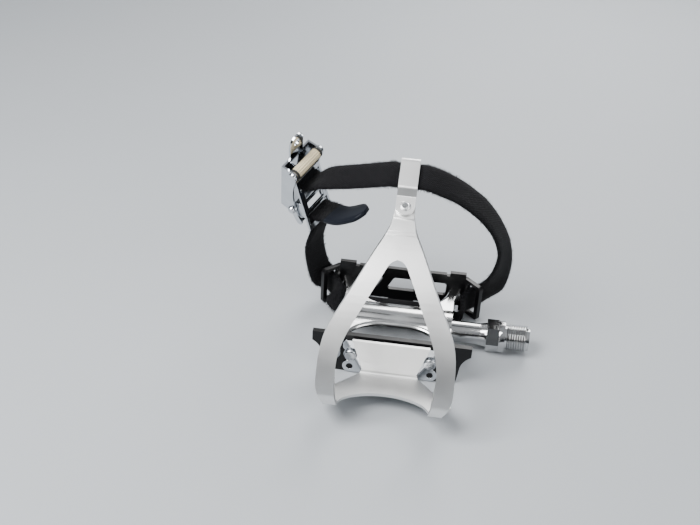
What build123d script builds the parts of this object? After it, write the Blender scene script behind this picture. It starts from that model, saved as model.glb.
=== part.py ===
"""One-sided road pedal with an aluminium toe clip, a webbing strap and a quick-release buckle.

Millimetres. +X runs along the spindle towards the crank, -Y is the toe side and +Z is up.
The origin is the middle of the spindle shoulder that seats on the crank.
"""

import os
from math import atan2, cos, degrees, hypot, radians, sin, tan

from build123d import *

os.makedirs("parts", exist_ok=True)

# Spindle, turned steel with a 9/16 inch by 20 thread
thread_radius = 7.14
thread_length = 13.0
thread_chamfer = 1.0
shoulder_radius = 8.4
shoulder_thickness = 3.0
flats_width = 15.0
flats_length = 6.5
taper_length = 4.0
axle_radius = 5.7
shank_relief = 0.1
nut_thread_radius = 2.9
spindle_end_gap = 2.0

# Bearings: bore radius, outer radius, width, ball radius, number of balls
inner_bearing_bore = 4.0
inner_bearing_outer = 7.0
inner_bearing_width = 4.0
inner_ball_radius = 0.9
inner_ball_count = 9
outer_bearing_bore = 3.0
outer_bearing_outer = 6.5
outer_bearing_width = 5.0
outer_ball_radius = 1.15
outer_ball_count = 7
ball_clearance = 0.03
race_gap = 0.9
seal_thickness = 1.2
seal_recess = 0.2
seal_clearance = 0.1
washer_radius = 5.0
washer_thickness = 1.0
locknut_width = 8.0
locknut_thickness = 4.0
cap_flange_radius = 8.5
cap_flange_thickness = 2.0
cap_plug_depth = 3.0
cap_wall = 1.0

# Forged body
pedal_centre = -57.4
body_half_length = 29.2
barrel_radius = 9.8
barrel_half_width = 9.6
crown_fillet = 5.0
bore_shoulder = 5.6
ground_z = -8.5
arm_top = 7.0
arm_inner = 25.8
arm_outer = 33.4
arm_bow = 0.4
tunnel_roof = 1.2
tunnel_front = 11.0
tunnel_fillet = 3.0
body_round = 2.2
relief_foot = 27.4
relief_head = 31.4
relief_top = 8.2

# Cage plates
plate_inner_y = 29.5
front_plate_thickness = 3.0
front_plate_half = 40.4
front_plate_top = 14.4
front_end_drop = 5.4
front_waist_half = 35.2
front_waist_z = 1.5
front_foot_half = 34.0
front_corner = 3.0
rear_plate_thickness = 2.5
rear_plate_half = 34.6
rear_tab_top = 16.4
rear_tab_inner = 25.8
rear_tab_rise = 1.3
rear_notch_width = 1.8
rear_notch_depth = 0.9
rear_bottom = -4.6
rear_tooth_half = 6.2
window_top = 9.2
window_bottom = 1.4
window_corner = 1.2
middle_window_top_half = 4.4
middle_window_bottom_half = 8.6
web_width = 5.0
side_window_outer = 24.2
ear_angle = 45.0
ear_length = 11.0
ear_bar = 2.6
ear_round = 1.8
ear_top = 13.6
ear_bottom = -7.8
slot_width = 6.8
slot_top = 11.7
slot_bottom = -6.0
cage_bolt_x = 29.0
cage_bolt_z = 4.0
cage_bolt_radius = 1.8
cage_bolt_reach = 4.6
cage_head_radius = 4.1
cage_head_height = 2.4
cage_socket_width = 3.0
hole_clearance = 0.1

# Chromed backing plate between the front cage plate and the toe clip
backing_thickness = 1.2
backing_half = 24.4
backing_top = 12.0
backing_bottom = -8.0
backing_upper_z = 5.6
lobe_x = 20.6
lobe_z = -4.4
lobe_radius = 3.7
lobe_hole_radius = 1.7
backing_bolt_x = 20.2
backing_bolt_z = 3.4
small_bolt_radius = 2.0
small_head_radius = 3.3
small_head_height = 2.0
small_nut_width = 7.0
small_nut_height = 3.2
stud_x = 9.0
stud_z = 3.0
thread_showing = 1.4

# Toe clip, one folded aluminium sheet
clip_thickness = 1.6
foot_half_top = 19.6
foot_top = 13.4
foot_waist_half = 13.8
waist_round = 2.0
crease_z = -7.4
crease_radius = 2.2
ledge_rise = 17.5
ledge_length = 40.2
ledge_side_y = -64.5
ledge_arc_depth = 14.4
bend_radius = 6.0
arm_heading = 70.0
arm_outer_half = 32.6
arm_outer_z = 22.0
arm_knee_half = 28.0
arm_knee_z = 44.0
arm_shoulder_half = 18.6
arm_shoulder_z = 58.5
arm_inner_half = 23.8
arm_inner_z = 24.0
inner_knee_half = 16.7
inner_knee_z = 45.8
inner_end_half = 5.3
inner_end_drop = 3.0
crotch_y = -39.0
crotch_z = 64.0
window_head_z = 66.2
neck_foot_y = -17.5
neck_foot_z = 78.3
neck_straight = 28.1
neck_half = 4.7
neck_flare_half = 10.8
neck_flare_z = 69.5
neck_base_z = 82.0
loop_length = 14.4
loop_step = 3.4
loop_radius = 1.5
tab_length = 10.4
tab_lift = 0.1
rivet_from_top = 23.5
rivet_shank = 1.6
rivet_bore = 0.8
rivet_head = 3.0
rivet_flange = 0.9

# Webbing strap
strap_width = 14.0
strap_thickness = 2.2
strap_clearance = 0.4
loop_tuck = 0.5
ear_bias = 1.1
ear_sag = 0.4
strap_steps = 5
strap_dip = 18.4
strap_low = -4.3
loop_exit = 4.5
tail_bend = Vector(8.7, -8.7, 4.4)
tail_reach = Vector(20.5, -14.7, 12.7)

# Quick-release buckle, placed by its base plate; up runs along the plate and out is away from the shoe
buckle_offset = (-47.5, 16.0, 60.0)
buckle_up = (-0.13, -0.16, 0.98)
buckle_across = (0.48, 0.81, 0.33)
base_low = -12.4
base_high = 23.0
base_thickness = 1.2
cheek_inner = 8.2
cheek_thickness = 1.2
cheek_low = -3.0
cheek_high = 7.0
cheek_out = 5.0
cheek_round = 3.2
lever_gap = 0.4
lever_thickness = 1.0
pivot_up = 2.0
pivot_out = 7.0
pin_radius = 1.5
pin_head_radius = 2.2
pin_head_height = 1.2
pin_clearance = 0.05
roller_up = 29.5
roller_out = -1.5
roller_radius = 2.8
roller_pin_radius = 1.2
roller_head_radius = 2.4
roller_head_height = 1.0
roller_end_gap = 0.4
roller_flutes = 14
flute_radius = 0.4
lever_arm_half = 2.6
lever_waist = 2.4
lever_web_offset = 6.2
lever_web_start = -1.0
thumb_reach = 46.0
thumb_half = 5.0
thumb_hole = 2.0
tail_tab_up = -22.0
tail_tab_out = 16.0
tail_tab_half = 2.0
grip_bar_up = -6.4
grip_bar_out = 4.6
grip_bar_radius = 1.2
grip_arm_half = 1.8
slot_half = 7.9
tail_slot_low = -8.6
tail_slot_high = -1.0
fixed_slot_low = 15.2
fixed_slot_high = 20.0
vent_slot_half = 6.0
vent_slots = ((0.8, 6.0), (7.6, 12.8))

# Places worked out from the sizes above
body_inner_x = pedal_centre + body_half_length
body_outer_x = pedal_centre - body_half_length
inner_bearing_x = body_inner_x - seal_recess - seal_thickness
inner_bearing_end = inner_bearing_x - inner_bearing_width
nut_outer_x = body_outer_x + cap_plug_depth + hole_clearance
nut_inner_x = nut_outer_x + locknut_thickness
outer_bearing_end = nut_inner_x + washer_thickness
outer_bearing_x = outer_bearing_end + outer_bearing_width
front_plate_y = -plate_inner_y - front_plate_thickness
backing_y = front_plate_y - backing_thickness
foot_y = backing_y - clip_thickness / 2
inner_face = Plane((pedal_centre, -plate_inner_y, 0), x_dir=(1, 0, 0), z_dir=(0, -1, 0))
front_face = Plane((pedal_centre, front_plate_y, 0), x_dir=(1, 0, 0), z_dir=(0, -1, 0))
backing_face = Plane((pedal_centre, backing_y, 0), x_dir=(1, 0, 0), z_dir=(0, -1, 0))
rear_face = Plane((pedal_centre, plate_inner_y, 0), x_dir=(-1, 0, 0), z_dir=(0, 1, 0))
side_plane = Plane((pedal_centre, 0, 0), x_dir=(0, 1, 0), z_dir=(1, 0, 0))
front_view = Plane((pedal_centre, 0, 0), x_dir=(1, 0, 0), z_dir=(0, -1, 0))
buckle_plane = Plane(
    Vector(pedal_centre, 0, 0) + Vector(*buckle_offset),
    x_dir=buckle_up,
    z_dir=-Vector(*buckle_across),
)


def polar(angle):
    """Unit step in the side view, at an angle from straight back towards up."""
    return Vector(cos(radians(angle)), sin(radians(angle)))


def turned(start, end, heading):
    """Heading at the end of an arc that leaves start at a heading and runs to end."""
    return 2 * degrees(atan2(end.Y - start.Y, end.X - start.X)) - heading


def save(piece, name):
    """Label a finished piece and write it as one node."""
    piece.part.label = name
    export_step(piece.part, f"parts/{name}.step")


# Spindle
flats_end = -shoulder_thickness - flats_length
taper_end = flats_end - taper_length
inner_journal = inner_bearing_bore
shank_radius = inner_bearing_bore - shank_relief
outer_journal = outer_bearing_bore
spindle_end = nut_outer_x + spindle_end_gap / 2
with BuildPart() as spindle:
    with BuildSketch(Plane.XZ):
        with BuildLine():
            Polyline(
                (thread_length, 0),
                (thread_length, thread_radius - thread_chamfer),
                (thread_length - thread_chamfer, thread_radius),
                (0, thread_radius),
                (0, shoulder_radius),
                (-shoulder_thickness, shoulder_radius),
                (-shoulder_thickness, flats_width / 2 - thread_chamfer),
                (flats_end, flats_width / 2 - thread_chamfer),
                (taper_end, axle_radius),
                (inner_bearing_x, axle_radius),
                (inner_bearing_x, inner_journal),
                (inner_bearing_end, inner_journal),
                (inner_bearing_end, shank_radius),
                (outer_bearing_x, shank_radius),
                (outer_bearing_x, outer_journal),
                (outer_bearing_end, outer_journal),
                (outer_bearing_end, nut_thread_radius),
                (spindle_end, nut_thread_radius),
                (spindle_end, 0),
                close=True,
            )
        make_face()
    revolve(axis=Axis.X)
    with BuildSketch(Plane.YZ.offset(flats_end)):
        RegularPolygon(flats_width / 2, 6, major_radius=False)
    extrude(amount=flats_length)
save(spindle, "spindle")

# Forged body: an H in plan, crowned over the barrel, with a strap tunnel under its rear arms
arm_sweep = plate_inner_y - barrel_half_width
relief_run = plate_inner_y - cage_bolt_reach - hole_clearance - tunnel_front
with BuildPart() as pedal_body:
    with BuildSketch(Plane((pedal_centre, 0, ground_z))):
        with BuildLine():
            Line((0, 0), (0, barrel_half_width))
            Line((0, barrel_half_width), (arm_inner - arm_sweep, barrel_half_width))
            RadiusArc(
                (arm_inner - arm_sweep, barrel_half_width),
                (arm_inner, plate_inner_y),
                -arm_sweep,
            )
            Line((arm_inner, plate_inner_y), (arm_outer, plate_inner_y))
            ThreePointArc(
                (arm_outer, plate_inner_y),
                ((arm_outer + body_half_length) / 2 - arm_bow, (plate_inner_y + barrel_half_width) / 2),
                (body_half_length, barrel_half_width),
            )
            Line((body_half_length, barrel_half_width), (body_half_length, 0))
            Line((body_half_length, 0), (0, 0))
        make_face()
        mirror(about=Plane.YZ)
        mirror(about=Plane.XZ)
    extrude(amount=barrel_radius - ground_z)
    with BuildSketch(side_plane):
        with BuildLine():
            Line((-plate_inner_y, arm_top), (plate_inner_y, arm_top))
            Line((plate_inner_y, arm_top), (plate_inner_y, tunnel_roof))
            FilletPolyline(
                (plate_inner_y, tunnel_roof),
                (tunnel_front, tunnel_roof),
                (tunnel_front, ground_z),
                radius=tunnel_fillet,
            )
            Polyline(
                (tunnel_front, ground_z),
                (-plate_inner_y, ground_z),
                (-plate_inner_y, arm_top),
            )
        make_face()
        Circle(barrel_radius)
        crown_feet = vertices().filter_by(
            lambda corner: abs(corner.Y - arm_top) < 0.01 and abs(corner.X) < barrel_radius
        )
        fillet(crown_feet, crown_fillet)
    extrude(amount=2 * front_plate_half, both=True, mode=Mode.INTERSECT)
    top_edges = pedal_body.edges().filter_by(lambda edge: edge.bounding_box().min.Z > arm_top - body_round)
    side_rims = top_edges.filter_by(
        lambda edge: barrel_half_width - 0.1 < abs(edge.center().Y) < plate_inner_y - 0.1
        and edge.length > barrel_half_width
    )
    fillet(side_rims, body_round)
    with BuildSketch(Plane.YZ.offset(body_outer_x)):
        Circle(bore_shoulder)
    extrude(amount=2 * body_half_length, mode=Mode.SUBTRACT)
    with BuildSketch(Plane.YZ.offset(inner_bearing_end)):
        Circle(inner_bearing_outer)
    extrude(amount=body_inner_x - inner_bearing_end, mode=Mode.SUBTRACT)
    with BuildSketch(Plane.YZ.offset(body_outer_x)):
        Circle(outer_bearing_outer)
    extrude(amount=outer_bearing_x - body_outer_x, mode=Mode.SUBTRACT)
    for face in (inner_face, rear_face):
        with BuildSketch(face):
            with Locations((-cage_bolt_x, cage_bolt_z), (cage_bolt_x, cage_bolt_z)):
                Circle(cage_bolt_radius)
        extrude(amount=-cage_bolt_reach, mode=Mode.SUBTRACT)
    for side in (-1, 1):
        with BuildSketch(front_view.offset(-tunnel_front)):
            Polygon(
                (side * relief_foot, tunnel_roof),
                (side * relief_head, relief_top),
                (side * front_plate_half, relief_top),
                (side * front_plate_half, tunnel_roof),
                align=None,
            )
        extrude(amount=-relief_run, mode=Mode.SUBTRACT)
save(pedal_body, "pedal_body")


# Cage bolts, front and rear
def add_bolts(name, face, thickness):
    """Write the two socket-head bolts that hold one cage plate to the body arms."""
    places = ((-cage_bolt_x, cage_bolt_z), (cage_bolt_x, cage_bolt_z))
    with BuildPart() as bolts:
        with BuildSketch(face.offset(thickness)):
            with Locations(*places):
                Circle(cage_head_radius)
        extrude(amount=cage_head_height, taper=12)
        with BuildSketch(face.offset(-cage_bolt_reach)):
            with Locations(*places):
                Circle(cage_bolt_radius)
        extrude(amount=cage_bolt_reach + thickness)
        with BuildSketch(face.offset(thickness + cage_head_height)):
            with Locations(*places):
                RegularPolygon(cage_socket_width / 2, 6, major_radius=False)
        extrude(amount=-cage_head_height / 2, mode=Mode.SUBTRACT)
    save(bolts, name)


add_bolts("front_cage_bolts", inner_face, front_plate_thickness)
add_bolts("rear_cage_bolts", rear_face, rear_plate_thickness)


# Bearings, seal, washer, locknut and dust cap
def ring(name, inner, outer, start, width):
    """Write a plain ring round the spindle axis, from start towards the outer end."""
    with BuildPart() as piece:
        with BuildSketch(Plane.YZ.offset(start - width)):
            Circle(outer)
            Circle(inner, mode=Mode.SUBTRACT)
        extrude(amount=width)
    save(piece, name)


def bearing(name, bore, outer, start, width, ball_radius, ball_count):
    """Write the inner race, the balls and the outer race of one grooved ball bearing."""
    pitch = (bore + outer) / 2
    middle = start - width / 2
    races = (
        (f"{name}_inner_race", bore, pitch - race_gap / 2),
        (f"{name}_outer_race", pitch + race_gap / 2, outer),
    )
    for race_name, low, high in races:
        with BuildPart() as race:
            with BuildSketch(Plane.XZ):
                with Locations((middle, (low + high) / 2)):
                    Rectangle(width, high - low)
                with Locations((middle, pitch)):
                    Circle(ball_radius + ball_clearance, mode=Mode.SUBTRACT)
            revolve(axis=Axis.X)
        save(race, race_name)
    with BuildPart() as balls:
        with Locations(Plane.YZ.offset(middle)):
            with PolarLocations(pitch, ball_count):
                Sphere(ball_radius)
    save(balls, f"{name}_balls")


bearing(
    "inner_bearing",
    inner_bearing_bore,
    inner_bearing_outer,
    inner_bearing_x,
    inner_bearing_width,
    inner_ball_radius,
    inner_ball_count,
)
bearing(
    "outer_bearing",
    outer_bearing_bore,
    outer_bearing_outer,
    outer_bearing_x,
    outer_bearing_width,
    outer_ball_radius,
    outer_ball_count,
)
ring(
    "spindle_seal",
    axle_radius + seal_clearance,
    inner_bearing_outer,
    body_inner_x - seal_recess,
    seal_thickness,
)
ring("spindle_washer", nut_thread_radius, washer_radius, outer_bearing_end, washer_thickness)

with BuildPart() as spindle_locknut:
    with BuildSketch(Plane.YZ.offset(nut_outer_x)):
        RegularPolygon(locknut_width / 2, 6, major_radius=False)
        Circle(nut_thread_radius, mode=Mode.SUBTRACT)
    extrude(amount=locknut_thickness)
save(spindle_locknut, "spindle_locknut")

with BuildPart() as dust_cap:
    with BuildSketch(Plane.YZ.offset(body_outer_x)):
        Circle(cap_flange_radius)
    extrude(amount=-cap_flange_thickness)
    fillet(dust_cap.edges().sort_by(Axis.X)[0], cap_flange_thickness * 0.6)
    with BuildSketch(Plane.YZ.offset(body_outer_x)):
        Circle(outer_bearing_outer)
        Circle(outer_bearing_outer - cap_wall, mode=Mode.SUBTRACT)
    extrude(amount=cap_plug_depth)
    with BuildSketch(Plane.YZ.offset(body_outer_x - cap_flange_thickness)):
        RegularPolygon(cage_socket_width, 6, major_radius=False)
    extrude(amount=cap_flange_thickness / 2, mode=Mode.SUBTRACT)
save(dust_cap, "dust_cap")

# Front cage plate, straight along the top and drawn in at the ends
with BuildPart() as front_cage_plate:
    with BuildSketch(inner_face) as front_outline:
        with BuildLine():
            Polyline(
                (0, ground_z),
                (0, front_plate_top),
                (front_plate_half, front_plate_top),
                (front_plate_half, front_plate_top - front_end_drop),
            )
            TangentArc(
                (front_plate_half, front_plate_top - front_end_drop),
                (front_waist_half, front_waist_z),
                tangent=(-1, -0.55),
            )
            Polyline((front_waist_half, front_waist_z), (front_foot_half, ground_z), (0, ground_z))
        make_face()
        mirror(about=Plane.YZ)
        fillet(front_outline.vertices().sort_by(Axis.Y)[0:2], front_corner)
        with Locations((-cage_bolt_x, cage_bolt_z), (cage_bolt_x, cage_bolt_z)):
            Circle(cage_bolt_radius + hole_clearance, mode=Mode.SUBTRACT)
        with Locations((-backing_bolt_x, backing_bolt_z), (backing_bolt_x, backing_bolt_z)):
            Circle(small_bolt_radius + hole_clearance, mode=Mode.SUBTRACT)
        with Locations((-stud_x, stud_z), (stud_x, stud_z)):
            Circle(small_bolt_radius + hole_clearance, mode=Mode.SUBTRACT)
    extrude(amount=front_plate_thickness)
save(front_cage_plate, "front_cage_plate")

# Rear cage plate: truss windows, raised end tabs, a lower tooth and a strap ear at each end
window_lean = (middle_window_bottom_half - middle_window_top_half) / (window_top - window_bottom)
web_step = web_width * hypot(1, window_lean)
with BuildPart() as rear_cage_plate:
    with BuildSketch(rear_face):
        with BuildLine():
            Polyline(
                (0, rear_tab_top - rear_tab_rise),
                (rear_tab_inner - rear_notch_width, rear_tab_top - rear_tab_rise),
                (rear_tab_inner - rear_notch_width, rear_tab_top - rear_tab_rise - rear_notch_depth),
                (rear_tab_inner, rear_tab_top - rear_tab_rise - rear_notch_depth),
                (rear_tab_inner, rear_tab_top),
                (rear_plate_half, rear_tab_top),
                (rear_plate_half, rear_bottom),
                (rear_tooth_half + 1, rear_bottom),
                (rear_tooth_half, ground_z),
                (0, ground_z),
                close=True,
            )
        make_face()
        with BuildLine():
            FilletPolyline(
                (middle_window_top_half + web_step, window_top),
                (side_window_outer, window_top),
                (side_window_outer, window_bottom),
                (middle_window_bottom_half + web_step, window_bottom),
                radius=window_corner,
                close=True,
            )
        make_face(mode=Mode.SUBTRACT)
        mirror(about=Plane.YZ)
        with BuildLine():
            FilletPolyline(
                (-middle_window_top_half, window_top),
                (middle_window_top_half, window_top),
                (middle_window_bottom_half, window_bottom),
                (-middle_window_bottom_half, window_bottom),
                radius=window_corner,
                close=True,
            )
        make_face(mode=Mode.SUBTRACT)
        with Locations((-cage_bolt_x, cage_bolt_z), (cage_bolt_x, cage_bolt_z)):
            Circle(cage_bolt_radius + hole_clearance, mode=Mode.SUBTRACT)
    extrude(amount=rear_plate_thickness)
    for side in (-1, 1):
        ear_dir = Vector(side * cos(radians(ear_angle)), -sin(radians(ear_angle)))
        ear_normal = Vector(side * sin(radians(ear_angle)), cos(radians(ear_angle)))
        corner = Vector(pedal_centre + side * rear_plate_half, plate_inner_y)
        mitre = corner + Vector(side * tan(radians(ear_angle / 2)), 1) * rear_plate_thickness
        ear_end = corner + ear_dir * ear_length
        root = corner - Vector(side * rear_plate_thickness, 0)
        with BuildSketch(Plane.XY.offset(ear_bottom)):
            Polygon(
                root,
                corner,
                ear_end,
                ear_end + ear_normal * rear_plate_thickness,
                mitre,
                root + Vector(0, rear_plate_thickness),
                align=None,
            )
        extrude(amount=ear_top - ear_bottom)
        ear_plane = Plane(
            (corner.X, corner.Y, (slot_top + slot_bottom) / 2),
            x_dir=(ear_dir.X, ear_dir.Y, 0),
            z_dir=(-ear_normal.X * side, -ear_normal.Y * side, 0),
        )
        with BuildSketch(ear_plane):
            with Locations((ear_length - ear_bar - slot_width / 2, 0)):
                RectangleRounded(slot_width, slot_top - slot_bottom, window_corner)
        extrude(amount=2 * rear_plate_thickness, both=True, mode=Mode.SUBTRACT)
    ear_reach = rear_plate_half + ear_length * cos(radians(ear_angle))
    ear_tips = edges().filter_by(
        lambda edge: abs(edge.center().X - pedal_centre) > ear_reach
        and abs(edge.length - rear_plate_thickness) < 0.01
    )
    fillet(ear_tips, ear_round)
save(rear_cage_plate, "rear_cage_plate")

# Chromed backing plate, with a lobe and a small window at each end
bolt_places = ((-backing_bolt_x, backing_bolt_z), (backing_bolt_x, backing_bolt_z))
stud_places = ((-stud_x, stud_z), (stud_x, stud_z))
lobe_places = ((-lobe_x, lobe_z), (lobe_x, lobe_z))
with BuildPart() as clip_backing_plate:
    with BuildSketch(front_face):
        with Locations((0, (backing_top + backing_upper_z) / 2)):
            RectangleRounded(2 * backing_half, backing_top - backing_upper_z, window_corner * 2)
        with Locations((0, (backing_upper_z + backing_bottom) / 2)):
            Rectangle(2 * lobe_x, backing_upper_z - backing_bottom)
        with Locations(*lobe_places):
            Circle(lobe_radius)
        with Locations(*bolt_places):
            Circle(lobe_radius)
        with Locations(*lobe_places):
            Circle(lobe_hole_radius, mode=Mode.SUBTRACT)
        with Locations(*bolt_places, *stud_places):
            Circle(small_bolt_radius + hole_clearance, mode=Mode.SUBTRACT)
    extrude(amount=backing_thickness)
save(clip_backing_plate, "clip_backing_plate")


def small_nuts(name, places):
    """Write the nuts that lie against the back of the front cage plate."""
    with BuildPart() as nuts:
        with BuildSketch(inner_face):
            with Locations(*places):
                RegularPolygon(small_nut_width / 2, 6, major_radius=False)
                Circle(small_bolt_radius, mode=Mode.SUBTRACT)
        extrude(amount=-small_nut_height)
    save(nuts, name)


stack = front_plate_thickness + backing_thickness
small_reach = stack + small_nut_height + thread_showing
with BuildPart() as backing_bolts:
    with BuildSketch(backing_face):
        with Locations(*bolt_places):
            Circle(small_head_radius)
    extrude(amount=small_head_height)
    fillet(backing_bolts.faces().sort_by(Axis.Y)[0:2].edges(), small_head_height * 0.6)
    with BuildSketch(backing_face):
        with Locations(*bolt_places):
            Circle(small_bolt_radius)
    extrude(amount=-small_reach)
save(backing_bolts, "backing_bolts")
small_nuts("backing_nuts", bolt_places)
small_nuts("clip_nuts", stud_places)

# Toe clip: foot, ledge, two arms, neck and strap loop, all one sheet
ledge_heading = 180 - ledge_rise
crease = Vector(foot_y, crease_z)
crease_run = crease_radius * tan(radians((90 + ledge_rise) / 2))
crease_start = crease + Vector(0, crease_run)
crease_end = crease + polar(ledge_heading) * crease_run
ledge_end = crease + polar(ledge_heading) * ledge_length
bend_centre = ledge_end + polar(ledge_heading - 90) * bend_radius
bend_end = bend_centre + polar(arm_heading + 90) * bend_radius
crotch = Vector(crotch_y, crotch_z)
neck_foot = Vector(neck_foot_y, neck_foot_z)
crotch_heading = turned(bend_end, crotch, arm_heading)
neck_heading = turned(crotch, neck_foot, crotch_heading)
neck_dir = polar(neck_heading)
neck_normal = polar(neck_heading + 90)
neck_top = neck_foot + neck_dir * neck_straight
sheet_reach = 2 * arm_outer_half

with BuildPart() as clip_ledge:
    with BuildSketch(side_plane):
        with BuildLine():
            TangentArc(crease_start, crease_end, tangent=(0, -1))
            Line(crease_end, ledge_end)
        trace(line_width=clip_thickness)
    extrude(amount=sheet_reach, both=True)
    with BuildSketch(Plane((pedal_centre, 0, 0))):
        with BuildLine():
            Polyline((0, ledge_end.X + ledge_arc_depth), (0, 0), (foot_waist_half, 0))
            FilletPolyline(
                (foot_waist_half, 0),
                (foot_waist_half, foot_y),
                (arm_outer_half, ledge_side_y),
                (arm_outer_half, ledge_end.X),
                radius=waist_round,
            )
            Line((arm_outer_half, ledge_end.X), (arm_inner_half, ledge_end.X))
            TangentArc(
                (0, ledge_end.X + ledge_arc_depth),
                (arm_inner_half, ledge_end.X),
                tangent=(1, 0),
            )
        make_face()
        mirror(about=Plane.YZ)
    extrude(amount=sheet_reach, both=True, mode=Mode.INTERSECT)

with BuildPart() as clip_arms:
    with BuildSketch(side_plane):
        with BuildLine():
            TangentArc(ledge_end, bend_end, tangent=polar(ledge_heading))
            TangentArc(bend_end, crotch, tangent=polar(arm_heading))
            TangentArc(crotch, neck_foot, tangent=polar(crotch_heading))
            Line(neck_foot, neck_top)
        trace(line_width=clip_thickness)
    extrude(amount=sheet_reach, both=True)
    with BuildSketch(front_view):
        with BuildLine():
            Polyline(
                (0, window_head_z),
                (0, neck_top.Y + clip_thickness),
                (neck_half, neck_top.Y + clip_thickness),
                (neck_half, neck_base_z),
            )
            Spline(
                (neck_half, neck_base_z),
                (neck_flare_half, neck_flare_z),
                (arm_shoulder_half, arm_shoulder_z),
                (arm_knee_half, arm_knee_z),
                (arm_outer_half, arm_outer_z),
                tangents=((0, -1), (0, -1)),
            )
            Polyline(
                (arm_outer_half, arm_outer_z),
                (arm_outer_half, ground_z),
                (arm_inner_half, ground_z),
                (arm_inner_half, arm_inner_z),
            )
            Spline(
                (arm_inner_half, arm_inner_z),
                (inner_knee_half, inner_knee_z),
                (inner_end_half, window_head_z - inner_end_drop),
                tangents=((0, 1), (-0.6, 0.8)),
            )
            TangentArc(
                (0, window_head_z),
                (inner_end_half, window_head_z - inner_end_drop),
                tangent=(1, 0),
            )
        make_face()
        mirror(about=Plane.YZ)
    extrude(amount=2 * sheet_reach, both=True, mode=Mode.INTERSECT)

loop_rise = clip_thickness + strap_thickness + 2 * strap_clearance
loop_front = neck_top + neck_normal * loop_rise
loop_low = loop_front - neck_dir * loop_length
tab_start = neck_top + neck_normal * (clip_thickness + tab_lift) - neck_dir * (loop_length + loop_step)
tab_end = tab_start - neck_dir * tab_length
tab_depth = loop_length + loop_step + tab_length
neck_plane = Plane(
    (pedal_centre, neck_top.X, neck_top.Y),
    x_dir=(1, 0, 0),
    z_dir=(0, neck_normal.X, neck_normal.Y),
)
with BuildPart() as clip_loop:
    with BuildSketch(side_plane):
        with BuildLine():
            ThreePointArc(
                neck_top,
                neck_top + (neck_dir + neck_normal) * (loop_rise / 2),
                loop_front,
            )
            FilletPolyline(loop_front, loop_low, tab_start, tab_end, radius=loop_radius)
        trace(line_width=clip_thickness)
    extrude(amount=neck_half, both=True)
    with BuildSketch(neck_plane):
        with Locations((0, neck_half - tab_depth)):
            Circle(neck_half)
        with Locations((0, (neck_half + loop_rise - tab_depth) / 2)):
            Rectangle(2 * neck_half, tab_depth - neck_half + loop_rise)
    extrude(amount=2 * loop_rise, both=True, mode=Mode.INTERSECT)

with BuildPart() as toe_clip:
    add(clip_ledge.part)
    add(clip_arms.part)
    add(clip_loop.part)
    with BuildSketch(backing_face):
        with BuildLine():
            Polyline(
                (0, crease_start.Y),
                (0, foot_top),
                (foot_half_top, foot_top),
                (foot_waist_half, crease_start.Y),
                close=True,
            )
        make_face()
        mirror(about=Plane.YZ)
    extrude(amount=clip_thickness)
    with BuildSketch(backing_face):
        with Locations(*stud_places):
            Circle(small_bolt_radius)
    extrude(amount=-small_reach)
    with BuildSketch(neck_plane):
        with Locations((0, -rivet_from_top)):
            Circle(rivet_shank)
    extrude(amount=2 * loop_rise, both=True, mode=Mode.SUBTRACT)
save(toe_clip, "toe_clip")

# Tubular rivet that closes the strap loop
tab_face = clip_thickness * 1.5 + tab_lift
with BuildPart() as loop_rivet:
    with BuildSketch(neck_plane.offset(tab_face)):
        with Locations((0, -rivet_from_top)):
            Circle(rivet_head)
    extrude(amount=rivet_flange)
    fillet(loop_rivet.faces().sort_by(Axis.Z)[-1].edges(), rivet_flange * 0.6)
    with BuildSketch(neck_plane.offset(tab_face)):
        with Locations((0, -rivet_from_top)):
            Circle(rivet_shank)
    extrude(amount=-tab_face - clip_thickness / 2)
    with BuildSketch(neck_plane.offset(-clip_thickness / 2)):
        with Locations((0, -rivet_from_top)):
            Circle(rivet_head)
    extrude(amount=-rivet_flange)
    with BuildSketch(neck_plane):
        with Locations((0, -rivet_from_top)):
            Circle(rivet_bore)
    extrude(amount=2 * loop_rise, both=True, mode=Mode.SUBTRACT)
save(loop_rivet, "loop_rivet")


# Webbing strap: a flat band through the clip loop, the ears, the tunnel and the buckle
def on_buckle(up, out):
    """Point in the buckle's mid plane."""
    return buckle_plane.from_local_coords((up, out, 0))


def beside(x, y, z):
    """Point placed from the middle of the pedal."""
    return Vector(pedal_centre + x, y, z)


def swept(start, end, x_share, y_share, z_share):
    """Point that lies, along each axis, its own share of the way from start to end."""
    return Vector(
        start.X + (end.X - start.X) * x_share,
        start.Y + (end.Y - start.Y) * y_share,
        start.Z + (end.Z - start.Z) * z_share,
    )


def mirrored(route):
    """The same stations on the other side of the pedal, in the opposite order."""
    flipped = []
    for place, across in reversed(route):
        other_side = Vector(2 * pedal_centre - place.X, place.Y, place.Z)
        flipped.append((other_side, (-across[0], across[1], across[2])))
    return flipped


def hermite(before, start, end, after, t):
    """Point between start and end on a smooth curve that also heeds both neighbours."""
    lead = (end - before) * 0.5
    trail = (after - start) * 0.5
    rise = t * t * (3 - 2 * t)
    return start + (end - start) * rise + lead * (t * (1 - t) ** 2) - trail * (t * t * (1 - t))


strap_lift = clip_thickness / 2 + strap_clearance + strap_thickness / 2
loop_place = neck_top - neck_dir * (strap_width / 2 - loop_tuck) + neck_normal * strap_lift
neck_across = (0, neck_dir.X, neck_dir.Y)
slot_centre = ear_length - ear_bar - slot_width / 2 - ear_bias
ear_step = Vector(cos(radians(ear_angle)), -sin(radians(ear_angle)))
ear_out = Vector(sin(radians(ear_angle)), cos(radians(ear_angle)))
ear_place = Vector(rear_plate_half, plate_inner_y) + ear_step * slot_centre
ear_place = ear_place + ear_out * (rear_plate_thickness / 2)
ear_across = (0.28, 0.22, -0.94)
ear_run = Vector(-0.74, -0.58, -0.35)
under_across = (0, 0.95, 0.31)
ear_z = (slot_top + slot_bottom) / 2 - ear_sag
outer_lay = base_thickness / 2 + strap_thickness / 2 + strap_clearance / 2

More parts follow.
